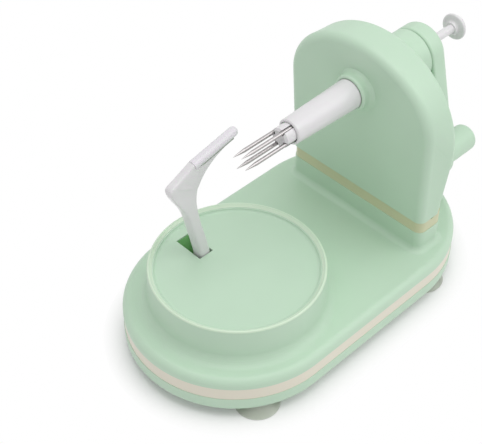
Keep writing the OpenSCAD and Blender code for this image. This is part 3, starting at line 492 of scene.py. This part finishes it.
def make_piece(
    name: str, points: Array, wrap_rows: bool = False, wrap_columns: bool = True, crease: float = 40.0,
) -> bpy.types.Object:
    """Turns a grid of points into a smooth object at the origin.

    Args:
        name: Name of the piece.
        points: Grid of rows, columns and XYZ in millimetres.
        wrap_rows: Whether the last row joins the first.
        wrap_columns: Whether the last column joins the first.
        crease: Angle past which an edge stays sharp.

    Returns:
        The new object, with its doubles merged and its faces turned outwards.
    """
    rows, columns = points.shape[:2]
    mesh = bpy.data.meshes.new(name)
    faces = grid_faces(rows, columns, wrap_rows, wrap_columns)
    mesh.from_pydata((points.reshape(-1, 3) * MM).tolist(), [], faces.tolist())
    work = bmesh.new()
    work.from_mesh(mesh)
    bmesh.ops.remove_doubles(work, verts=work.verts, dist=MERGE_MM * MM)
    bmesh.ops.dissolve_degenerate(work, edges=work.edges, dist=SLIVER_MM * MM)
    bmesh.ops.recalc_face_normals(work, faces=work.faces)
    work.to_mesh(mesh)
    work.free()
    mesh.shade_smooth()
    mesh.set_sharp_from_angle(angle=math.radians(crease))
    piece = bpy.data.objects.new(name, mesh)
    bpy.context.scene.collection.objects.link(piece)
    return piece


def turned(profile: Array, steps: int = 72) -> Array:
    """Surface of revolution about Z: each profile point runs round a circle.

    Args:
        profile: Rows of radius and height.
        steps: Points round each circle.

    Returns:
        Grid of points, one row for each profile point.
    """
    angle = np.linspace(0, 2 * np.pi, steps, endpoint=False)
    ring = np.stack((np.cos(angle), np.sin(angle)), axis=-1)
    flat = profile[:, None, :1] * ring[None]
    height = np.broadcast_to(profile[:, None, 1:], (*flat.shape[:2], 1))
    return np.concatenate((flat, height), axis=-1)


def at_depth(line: Array, depth: float) -> Array:
    """A flat line of points with a depth as its third column."""
    return np.column_stack((line, np.full(len(line), depth)))


def along_y(points: Array, x: float, z: float) -> Array:
    """Turns a surface about Z into one about a line along Y at x and z."""
    return np.stack((points[..., 0] + x, points[..., 2], z - points[..., 1]), axis=-1)


# Sub-assemblies


@dataclass
class Part:
    """A sub-assembly that adds its pieces to the frame."""

    dresser: Dresser

    def add(self, piece: bpy.types.Object, body: Body, slot: Slot, *nodes: str) -> None:
        """Puts a piece on a body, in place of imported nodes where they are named.

        Args:
            piece: New object.
            body: Body that carries it.
            slot: Slot of the piece.
            nodes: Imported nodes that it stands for.
        """
        self.dresser.paint(piece, slot)
        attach(piece, body.value)
        if nodes:
            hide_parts(*nodes)
        LOG.info("%s rides on %s, %d faces", piece.name, body.value, len(piece.data.polygons))


@dataclass
class Feet(Part):
    """Suction feet.

    Cup and bell rows hold a share of the foot's radius and a height. Stud rows hold a radius and a height.
    """

    count: int = 4
    cup: Rows = ((0, 3.6), (0.3, 3.4), (0.55, 2.6), (0.78, 1.2), (0.9, 0.05), (0.96, 0))
    bell: Rows = ((0.96, 0), (1, 0.4), (0.93, 1.3), (0.8, 2.5), (0.66, 4.2), (0.6, 5.9))
    stud: Rows = ((3.95, 6), (3.95, 8.5), (6, 8.52), (6, 9.4))
    stud_end_r: float = 4.6
    steps: int = 8

    def build(self) -> None:
        """Turns each foot: up the inside of the cup's curve, round its lip, up the bell and the stud."""
        for number in range(1, self.count + 1):
            node = f"suction_foot_{number}"
            low, high = box_mm(node)
            radius, top = (high[0] - low[0]) / 2, high[2]
            inner = smooth_rows(np.array(self.cup) * [radius, 1], self.steps)
            outer = smooth_rows(np.array(self.bell) * [radius, 1], self.steps)
            points = turned(join(inner, outer[1:], self.stud, [[self.stud_end_r, top], [0, top]]))
            points += [*middle_mm(node)[:2], 0]
            self.add(make_piece(f"vinyl_foot_{number}", points), Body.FRAME, Slot.FOOT, node)


@dataclass
class Fork(Part):
    """Steel prongs of the fork."""

    count: int = 4
    prong_r: float = 1.09
    point_r: float = 0.12
    point_len: float = 8.0
    point_swell: float = 0.85
    point_steps: int = 14
    sides: int = 32
    crease: float = 50.0

    def build(self) -> None:
        """Turns each prong with a ground point, whose radius grows by a power of the length."""
        for number in range(1, self.count + 1):
            node = f"fork_prong_{number}"
            low, high = box_mm(node)
            x, _, z = middle_mm(node)
            share = np.linspace(0, 1, self.point_steps)
            swell = self.point_r + (self.prong_r - self.point_r) * share**self.point_swell
            tip = np.column_stack((swell, low[1] + self.point_len * share))
            profile = join([[0, low[1]]], tip, [[self.prong_r, high[1]], [0, high[1]]])
            points = along_y(turned(profile, self.sides), x, z)
            piece = make_piece(f"fork_needle_{number}", points, crease=self.crease)
            self.add(piece, Body.SPINDLE, Slot.FORK, node)


@dataclass
class DrumRim(Part):
    """Rolled bead on the drum's rim, which laps over the edge of the disc with a hair of air.

    Rows hold a distance outwards from the disc's edge and a height over it.
    """

    bead_middle: Pair = (0.85, 0.68)
    bead_r: float = 0.87
    bead_turn: Pair = (-10.0, 130.0)
    bead_steps: int = 18
    slope: Rows = ((-0.2, 0.78), (-0.6, 0.36), (-0.95, 0.19), (-1.05, 0.12))
    under: Rows = ((-1.0, 0.08), (-0.2, 0.08), (0.6, 0.08), (1.6, 0.08))
    sides: int = 240
    crease: float = 60.0

    def build(self) -> None:
        """Turns the bead: over its round top, down the slope to the disc and back under it."""
        low, high = box_mm("turntable_disc")
        edge = np.array([(high[0] - low[0]) / 2, high[2]])
        bead = arc(self.bead_middle, self.bead_r, *self.bead_turn, self.bead_steps)
        profile = join(bead, self.slope, self.under) + edge
        points = turned(profile, self.sides) + [*middle_mm("turntable_disc")[:2], 0]
        # Its name picks the lighter green finish, a painted highlight along the bead
        piece = make_piece("drum_bead", points, wrap_rows=True, crease=self.crease)
        self.add(piece, Body.FRAME, Slot.SHELL)


@dataclass
class TowerSkin(Part):
    """Smooth skin over the sides and the rolled edges of the tower.

    The tower's outline narrows and its arch flattens from the rear to the front, which leans forwards.
    Inner rows hold a distance in from the front or rear end, a margin and the share of the front outline.
    """

    taper: float = 4.5
    depth: float = 16.5
    rear_rise: float = 55.0
    front_rise: float = 43.0
    front_in: float = 3.6
    front_lead: float = 0.8
    front_lean: float = 3.2
    rear_roll: float = 3.0
    front_roll: float = 5.0
    proud: float = 0.2
    inner: Rows = ((1.2, 5.6, 1), (6, 2, 1), (1.5, 3.2, 0))
    arch_steps: int = 161
    roll_steps: int = 12
    side_steps: int = 14

    def row(self, y: float, margin: float, share: float) -> Array:
        """Outline drawn in by a margin, from the right foot over a half oval arch to the left foot.

        Args:
            y: Depth of the row before the lean.
            margin: Distance in from the sides and the arch.
            share: 0 for the rear outline, 1 for the front one.

        Returns:
            Points of the row.
        """
        low, high = box_mm("tower_housing")
        width, foot = high[0] - share * self.front_in, high[0] - self.taper
        rise = self.rear_rise + share * (self.front_rise - self.rear_rise)
        spring = high[2] - rise
        tilt = math.atan((width - foot) / (spring - low[2]))
        angle = np.linspace(-tilt, math.pi + tilt, self.arch_steps)
        arch = np.column_stack(((width - margin) * np.cos(angle), spring + (rise - margin) * np.sin(angle)))
        line = join([[foot - margin, low[2]]], arch, [[margin - foot, low[2]]])
        lean = self.front_lead + (line[:, 1] - low[2]) * math.tan(math.radians(self.front_lean))
        return np.column_stack((line[:, 0], y - share * lean, line[:, 1]))

    def roll(self, y: float, radius: float, share: float) -> list[Array]:
        """Rows round a quarter circle from a face to the side. The skin stands proud as the edge turns.

        Args:
            y: Depth of the face before the lean.
            radius: Radius of the rolled edge.
            share: 0 for the rear outline, 1 for the front one.

        Returns:
            The rows from the face to the side.
        """
        turn = np.radians(np.linspace(0, 90, self.roll_steps))
        reach = radius + self.proud * np.sin(turn)
        way = 1 - 2 * share
        return [self.row(y + way * (r * math.cos(t) - radius), radius - r * math.sin(t), share)
                for r, t in zip(reach, turn)]

    def build(self) -> None:
        """Runs the skin over both rolls and the side between them, and back inside the wall."""
        rear = box_mm("tower_housing")[1][1]
        front = rear - self.depth
        back, face = self.roll(rear, self.rear_roll, 0), self.roll(front, self.front_roll, 1)
        side = [back[-1] + (face[-1] - back[-1]) * s for s in np.linspace(0, 1, self.side_steps)[1:-1]]
        inside = [self.row(front + gap if share else rear - gap, margin, share)
                  for gap, margin, share in self.inner]
        points = np.array([*back, *side, *face[::-1], *inside])
        ends = [np.broadcast_to(points[:, k].mean(axis=0), points[:, :1].shape) for k in (0, -1)]
        points = np.concatenate((ends[0], points, ends[1]), axis=1)
        piece = make_piece("tower_skin", points, wrap_rows=True, wrap_columns=False)
        self.add(piece, Body.FRAME, Slot.SHELL)


@dataclass
class SlotGuard(Part):
    """Sloping guard behind the slot's outer end, just clear of the arm at the end of its swing. It is coloured
    dark green as painted shade inside the slot.

    Corners hold X from the disc's axis and Z from the disc's edge. Sides are Y from the disc's axis.
    """

    corners: Rows = ((-38.9, -2.5), (-31.1, -17.1), (-31.9, -17.5), (-39.7, -2.9))
    sides: Pair = (-10.2, -0.2)

    def build(self) -> None:
        """Draws the guard's section across the slot and closes both ends at their middle."""
        axis = np.array([*middle_mm("turntable_disc")[:2], box_mm("turntable_disc")[1][2]])
        section = np.array(self.corners)
        middle = np.broadcast_to(section.mean(axis=0), section.shape)
        front, rear = self.sides
        points = np.array([
            [(x, y, z) for x, z in line]
            for line, y in ((middle, front), (section, front), (section, rear), (middle, rear))])
        # Its name picks the dark green finish, painted shade inside the slot
        self.add(make_piece("slot_guard_painted_shade", points + axis), Body.TURNTABLE, Slot.SHELL)


@dataclass
class Collar(Part):
    """Rounded nose of the spindle's collar, which hides the running gap behind the tube.

    Rows hold a distance outwards from the tube's root and one back from the collar's face.
    """

    nose: Rows = (
        (0.05, -0.7), (0.15, -0.95), (0.5, -1.05), (1.0, -0.95), (1.5, -0.6), (1.85, 0), (1.95, 0.6))
    inside: Rows = ((1.95, 1.1), (1.6, 0.9), (1.3, 0.5), (0.8, 0.15), (0.05, 0.15))
    steps: int = 4
    sides: int = 120
    crease: float = 60.0

    def build(self) -> None:
        """Turns the nose about the spindle and closes it inside the collar."""
        low, high = box_mm("spindle_tube")
        x, _, z = middle_mm("spindle_tube")
        root = np.array([(high[0] - low[0]) / 2, box_mm("tower_housing")[0][1]])
        profile = join(smooth_rows(np.array(self.nose), self.steps), self.inside) + root
        points = along_y(turned(profile, self.sides), x, z)
        piece = make_piece("collar_nose", points, wrap_rows=True, crease=self.crease)
        self.add(piece, Body.FRAME, Slot.SHELL)


@dataclass
class Ejector(Part):
    """Mushroom knob at the rear end of the ejector rod."""

    neck_r: float = 3.6
    neck_flare: float = 1.9
    neck_turn: Pair = (180.0, 95.0)
    edge_r: float = 1.1
    edge_back: float = 3.1
    edge_turn: Pair = (-80.0, 80.0)
    dome_r: float = 26.0
    dome_turn: Pair = (74.5, 90.0)
    dome_steps: int = 10
    crease: float = 60.0

    def build(self) -> None:
        """Turns the knob: a flared neck, a rolled edge and a shallow dome, each an arc."""
        low, high = box_mm("ejector_knob")
        x, _, z = middle_mm("ejector_knob")
        radius, start, end = (high[0] - low[0]) / 2, low[1], high[1]
        neck = arc((self.neck_r + self.neck_flare, start), self.neck_flare, *self.neck_turn)
        edge = arc((radius - self.edge_r, start + self.edge_back), self.edge_r, *self.edge_turn)
        dome = arc((0, end - self.dome_r), self.dome_r, *self.dome_turn, self.dome_steps)
        profile = join([[0, start], [self.neck_r, start]], neck, edge, dome)
        piece = make_piece("knob_moulding", along_y(turned(profile), x, z), crease=self.crease)
        self.add(piece, Body.EJECTOR, Slot.WHITE, "ejector_knob")


@dataclass
class Crank(Part):
    """Crank arm with softly rolled edges."""

    hub_r: float = 16.0
    end_r: float = 11.6
    length: float = 72.0
    front_roll: float = 1.6
    rear_roll: float = 3.6
    bore_r: float = 3.0
    angle: float = 17.7
    hub_steps: int = 160
    end_steps: int = 80
    side_steps: int = 40
    roll_steps: int = 12
    face_steps: int = 6

    def outline(self, inset: float) -> Array:
        """Outline of two circles joined by their tangents.

        A tangent leaves both circles at the angle whose sine is the difference of their radii over
        their distance.

        Args:
            inset: Distance in from the full outline.

        Returns:
            Points in X and distance down the crank.
        """
        hub, end = self.hub_r - inset, self.end_r - inset
        lean = math.degrees(math.asin((self.hub_r - self.end_r) / self.length))
        big = arc((0, 0), hub, lean, -180 - lean, self.hub_steps)
        small = arc((0, self.length), end, 180 - lean, lean, self.end_steps)
        share = np.linspace(0, 1, self.side_steps)[1:-1, None]
        left = big[-1] + (small[0] - big[-1]) * share
        right = small[-1] + (big[0] - small[-1]) * share
        return join(big, left, small, right)

    def build(self) -> None:
        """Rolls the outline round both edges by quarter circles and closes the faces to the bore."""
        low, high = box_mm("crank_arm")
        front, rear = low[1], high[1]
        axis_z = middle_mm("ejector_rod")[2]
        roll = np.radians(np.linspace(0, 90, self.roll_steps))
        in_by, back_by = 1 - np.sin(roll), 1 - np.cos(roll)
        edges = join(
            np.column_stack((self.front_roll * in_by, front + self.front_roll * back_by)),
            np.column_stack((self.rear_roll * in_by, rear - self.rear_roll * back_by))[::-1])
        rings = [at_depth(self.outline(inset), y) for inset, y in edges]
        flat = self.outline(0)
        spoke = flat / np.linalg.norm(flat, axis=1, keepdims=True) * self.bore_r
        bore = [at_depth(spoke, y) for y in (front, rear)]
        inward = np.linspace(0, 1, self.face_steps)[1:-1]
        first = [bore[0] + (rings[0] - bore[0]) * s for s in inward]
        last = [rings[-1] + (bore[1] - rings[-1]) * s for s in inward]
        local = np.stack([bore[0], *first, *rings, *last, bore[1]])
        turn = math.radians(self.angle)
        across, down, depth = local[..., 0], local[..., 1], local[..., 2]
        points = np.stack((
            across * math.cos(turn) + down * math.sin(turn), depth,
            axis_z + across * math.sin(turn) - down * math.cos(turn)), axis=-1)
        piece = make_piece("crank_moulding", points, wrap_rows=True)
        self.add(piece, Body.SPINDLE, Slot.SHELL, "crank_arm")


@dataclass
class PeelerArm(Part):
    """White peeler arm: a squared stem that widens into a flat web under the blade bar.

    Stem rows hold a share of the half width, a height from the hinge and a share of the half thickness.
    Web rows hold the left and the right edge, each as Y and a height over the disc, then the half
    thickness and the roundness of the edges. Seat rows hold the Y of the upper edge, the lower edge as
    Y and a height over the disc, and the half thickness.
    """

    sides: int = 96
    steps: int = 10
    crease: float = 50.0
    half_stem: float = 4.0
    lead: float = 3.0
    disc_t: float = 3.0
    bar_h: float = 4.8
    bar_tilt: float = 12.4
    seat_gap: float = 0.1
    stem_round: float = 0.55
    stud_at: Pair = (-15.0, 56.8)
    stud_r: float = 1.7
    stud_h: float = 0.55
    stud_edge: int = 4
    stud_face: float = -0.5
    stem: Rows = ((0.65, -4.6, 0.65), (1, -3.2, 0.95), (1, 3, 1), (1, 12, 1))
    web: Rows = (
        (-7.1, 0, 0.9, -0.5, 4, 0.55), (-8.4, 7, -0.6, 6, 4, 0.5), (-10.3, 16, -2.7, 15, 4, 0.45),
        (-12.4, 25, -4.9, 23.6, 3.9, 0.42), (-14.9, 35, -6.7, 33.4, 3.7, 0.38),
        (-18.2, 42.4, -7.6, 40.6, 3.5, 0.34), (-21.4, 48, -7.4, 44, 3.2, 0.3),
        (-23.8, 52.6, -7, 46.6, 2.9, 0.26), (-25.3, 57, -6.6, 48.6, 2.8, 0.24),
        (-24.6, 60, -6.2, 50, 2.75, 0.24), (-18.4, 62.9, -5.6, 51, 2.7, 0.24),
        (-12.6, 65.8, -5, 51.8, 2.6, 0.24), (-8.2, 68, -4.4, 52.8, 2.5, 0.24),
        (-6, 68.9, -3.9, 53.4, 2.4, 0.24))
    seat: Rows = (
        (-5.4, -3.4, 54.1, 2.2), (-3, -0.4, 57.6, 2), (0, 3.2, 60.6, 1.8), (6, 8.4, 63.7, 1.5),
        (13, 14.6, 66.4, 1.3), (20, 20.8, 68.6, 1.2))

    def hinge(self) -> Pair:
        """Y and Z of the joint that the arm swings on."""
        joint = next(j for j in frame["joints"] if j["name"] == "arm_swing")
        return joint["pos_m"][1] / MM, joint["pos_m"][2] / MM

    def disc_top(self) -> float:
        """Height of the disc's upper face."""
        return box_mm("turntable_hub")[1][2] + self.disc_t

    def stations(self) -> Array:
        """Rows of both edges in Y and Z, half thickness and roundness up the arm.

        Returns:
            One row for each station. The web and the seat are smoothed apart, so the step at the bar's
            root stays sharp.
        """
        stem_y, hinge_z = self.hinge()
        disc_z = self.disc_top()
        root = box_mm("blade_bar")[0]
        slope = math.tan(math.radians(self.bar_tilt))
        root_y = root[1] + self.bar_h * math.sin(math.radians(self.bar_tilt))
        arm_y = stem_y + self.lead
        wide, up, deep = np.array(self.stem).T
        stem = np.column_stack((
            stem_y - wide * self.half_stem, hinge_z + up, stem_y + wide * self.half_stem, hinge_z + up,
            deep * self.half_stem, np.full(len(up), self.stem_round)))
        web = np.array(self.web) + [arm_y, disc_z, arm_y, disc_z, 0, 0]
        y, low_y, low_z, half = np.array(self.seat).T
        seat_z = root[2] + (y + arm_y - root_y) * slope - self.seat_gap
        seat = np.column_stack((
            y + arm_y, seat_z, low_y + arm_y, low_z + disc_z, half, np.full(len(y), self.web[-1][-1])))
        return join(smooth_rows(join(stem, web), self.steps), smooth_rows(seat, self.steps))

    def build(self) -> None:
        """Lofts a squared oval through the stations, raises the small round stud and closes both ends.

        The oval is a superellipse: cosine and sine raised to the station's roundness. The stud's height
        falls off as the exponential of a power of the distance from its middle.
        """
        left, right, thick, power = np.split(self.stations(), (2, 4, 5), axis=1)
        angle = np.linspace(0, 2 * np.pi, self.sides, endpoint=False)
        across = np.sign(np.cos(angle)) * np.abs(np.cos(angle)) ** power
        deep = np.sign(np.sin(angle)) * np.abs(np.sin(angle)) ** power
        middle, half = (left + right) / 2, (right - left) / 2
        flat = middle[:, None] + across[..., None] * half[:, None]
        x = middle_mm("arm_pivot_pin")[0] - deep * thick
        stud = np.array([self.hinge()[0] + self.lead + self.stud_at[0], self.disc_top() + self.stud_at[1]])
        far = np.linalg.norm(flat - stud, axis=-1) / self.stud_r
        x = x + np.where(deep < self.stud_face, self.stud_h * np.exp(-(far**self.stud_edge)), 0.0)
        points = np.concatenate((x[..., None], flat), axis=-1)
        ends = [np.broadcast_to(points[k].mean(axis=0), (1, self.sides, 3)) for k in (0, -1)]
        points = np.concatenate((ends[0], points, ends[1]))
        piece = make_piece("arm_moulding", points, crease=self.crease)
        self.add(piece, Body.ARM, Slot.WHITE, "peeler_arm")


# Floor, light and camera


@dataclass(frozen=True)
class Lamp:
    """A square soft lamp that faces the middle of the part."""

    name: str
    place: Point
    size: float
    watts: float
    target: Point = (0.0, 0.0, 0.05)

    def hang(self) -> None:
        """Adds the lamp to the scene."""
        data = bpy.data.lights.new(self.name, "AREA")
        data.size, data.energy = self.size, self.watts
        lamp = bpy.data.objects.new(self.name, data)
        lamp.location = self.place
        aim = Vector(self.target) - Vector(self.place)
        lamp.rotation_euler = aim.to_track_quat("-Z", "Y").to_euler()
        bpy.context.scene.collection.objects.link(lamp)


@dataclass
class Studio:
    """Pale floor, soft lamps and the camera of the portrait."""

    eye: Point = (0.332, -0.3774, 0.5294)
    back: Point = (0.5166, -0.5024, 0.6934)
    lens_mm: float = 89.03
    sensor_mm: float = 36.0
    clip: Pair = (0.01, 20.0)
    base_ends: Pair = (-0.0595, 0.0365)
    base_radius: float = 0.064
    near_white: float = 0.08
    white_from: float = 0.95
    white_rate: float = 2.0
    floor_color: Color = (0.96, 0.96, 0.96)
    floor_half: float = 4.0
    floor_lines: int = 9
    room_light: float = 0.57
    lamps: tuple[Lamp, ...] = (
        Lamp("soft_above", (0.0, -0.05, 1.3), size=1.0, watts=5.6),
        Lamp("key_right", (0.75, 0.5, 0.95), size=0.9, watts=3.9))

    def camera(self) -> None:
        """Stands the camera at the photographed angle."""
        data = bpy.data.cameras.new("portrait_camera")
        data.lens, data.sensor_width, data.sensor_fit = self.lens_mm, self.sensor_mm, "HORIZONTAL"
        data.clip_start, data.clip_end = self.clip
        back = Vector(self.back).normalized()
        right = Vector((0, 0, 1)).cross(back).normalized()
        up = back.cross(right)
        turn = Matrix((right, up, back)).transposed().to_4x4()
        seat = bpy.data.objects.new("portrait_camera", data)
        seat.matrix_world = Matrix.Translation(self.eye) @ turn
        bpy.context.scene.collection.objects.link(seat)
        bpy.context.scene.camera = seat

    def floor(self) -> None:
        """Lays a white floor that keeps the shadow and looks white to the camera, steel and vinyl.

        The base is a round-ended bar, so the distance from its middle line, squared in units of the base's
        radius, turns the matt floor by the object into plain white a thumb's width further out.
        """
        graph = Graph(bpy.data.materials.new("white_floor"))
        across, along = (
            graph.node("ShaderNodeSeparateXYZ", values={0: graph.place()}, out=name) for name in "XY")
        front, rear = self.base_ends
        beyond = (along - rear).clipped() + (along * -1.0 + front).clipped()
        reach = (across * across + beyond * beyond) * self.base_radius ** -2
        away = ((reach - self.white_from) * self.white_rate).clipped()
        matt = graph.node("ShaderNodeBsdfDiffuse", values={"Color": (*self.floor_color, 1.0)})
        glow = graph.node("ShaderNodeEmission", values={"Color": WHITE_LIGHT, "Strength": 1.0})
        share = graph.seen() * (self.near_white + away * (1 - self.near_white))
        graph.close(graph.node("ShaderNodeMixShader", values={0: share, 1: matt, 2: glow}))
        step = np.linspace(-self.floor_half, self.floor_half, self.floor_lines) / MM
        x, y = np.meshgrid(step, step)
        floor = make_piece("pale_floor", np.stack((x, y, np.zeros_like(x)), axis=-1), wrap_columns=False)
        floor.data.materials.append(graph.owner)

    def world(self) -> None:
        """Fills the room with even light. It looks white to the camera, steel and vinyl."""
        world = bpy.data.worlds.new("soft_room")
        graph = Graph(world)
        level = graph.seen() * (1 - self.room_light) + self.room_light
        graph.close(graph.node("ShaderNodeBackground", values={"Color": WHITE_LIGHT, "Strength": level}))
        bpy.context.scene.world = world

    def build(self) -> None:
        """Sets up the whole studio."""
        self.camera()
        self.floor()
        self.world()
        for lamp in self.lamps:
            lamp.hang()
        bpy.context.scene.view_settings.view_transform = "Standard"


def main() -> None:
    """Builds each sub-assembly in order."""
    logging.basicConfig(level=logging.INFO, format="%(name)s: %(message)s")
    dresser = Dresser()
    dresser.paint_nodes()
    for part in (Feet(dresser), TowerSkin(dresser), DrumRim(dresser), SlotGuard(dresser), Collar(dresser),
                 Fork(dresser), Ejector(dresser), Crank(dresser), PeelerArm(dresser)):
        part.build()
    Studio().build()


if __name__ == "__main__":
    main()
